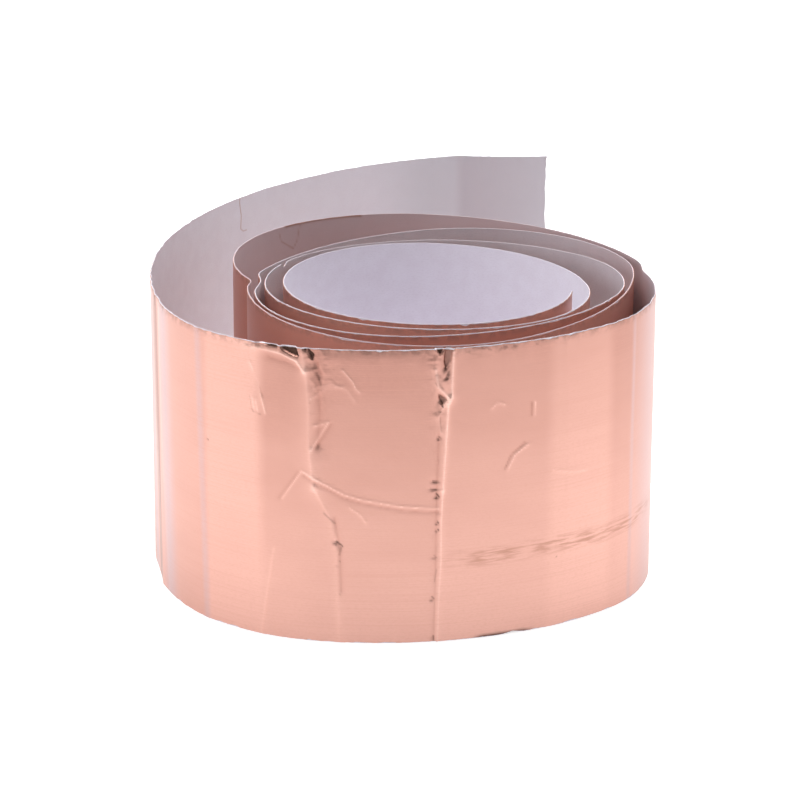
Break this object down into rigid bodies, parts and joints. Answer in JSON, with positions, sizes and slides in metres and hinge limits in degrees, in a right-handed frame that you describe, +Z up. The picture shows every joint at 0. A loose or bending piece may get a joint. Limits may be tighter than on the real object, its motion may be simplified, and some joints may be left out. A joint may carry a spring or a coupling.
{
  "type": "copper foil tape roll",
  "caption": "Loose coreless coil of wide adhesive copper foil tape standing on its slit edge, with a white paper release liner on the inside and a free tail that ends in a folded flap.",
  "frame": {"origin": "on the resting surface, at the middle of the bounding box of the standing coil", "axes": "+Z up across the tape's width, +Y from the coil towards the free flap, +X to the right when facing the flap from the coil's side"},
  "size_m": [0.0854, 0.122, 0.05],
  "materials": {
    "copper": "bright rolled copper foil, lightly creased",
    "adhesive": "thin clear acrylic adhesive, seen only on the slit edges",
    "release_liner": "smooth white silicone coated paper"
  },
  "bodies": {
    "coil": {"copper_foil_coil": "copper", "adhesive_coil": "adhesive", "liner_coil": "release_liner"},
    "inner_end": {"copper_foil_inner_end": "copper", "adhesive_inner_end": "adhesive", "liner_inner_end": "release_liner"},
    "tail": {"copper_foil_tail": "copper", "adhesive_tail": "adhesive", "liner_tail": "release_liner"},
    "flap": {"copper_foil_flap": "copper", "adhesive_flap": "adhesive", "liner_flap": "release_liner"},
    "liner_tab": {"liner_tab": "release_liner"}
  },
  "joints": [
    {"name": "inner_end_swing", "type": "hinge", "parent": "coil", "child": "inner_end", "pos_m": [0.01351, -0.04592, 0], "axis": [0, 0, 1], "range_deg": [-4, 30]},
    {"name": "tail_swing", "type": "hinge", "parent": "coil", "child": "tail", "pos_m": [-0.03956, -0.03588, 0], "axis": [0, 0, 1], "range_deg": [-12, 60]},
    {"name": "flap_fold", "type": "hinge", "parent": "tail", "child": "flap", "pos_m": [0.01214, 0.06085, 0], "axis": [0, 0, 1], "range_deg": [-60, 60]},
    {"name": "liner_peel", "type": "hinge", "parent": "flap", "child": "liner_tab", "pos_m": [0.01562, 0.06045, 0], "axis": [0, 0, -1], "range_deg": [0, 75]}
  ]
}
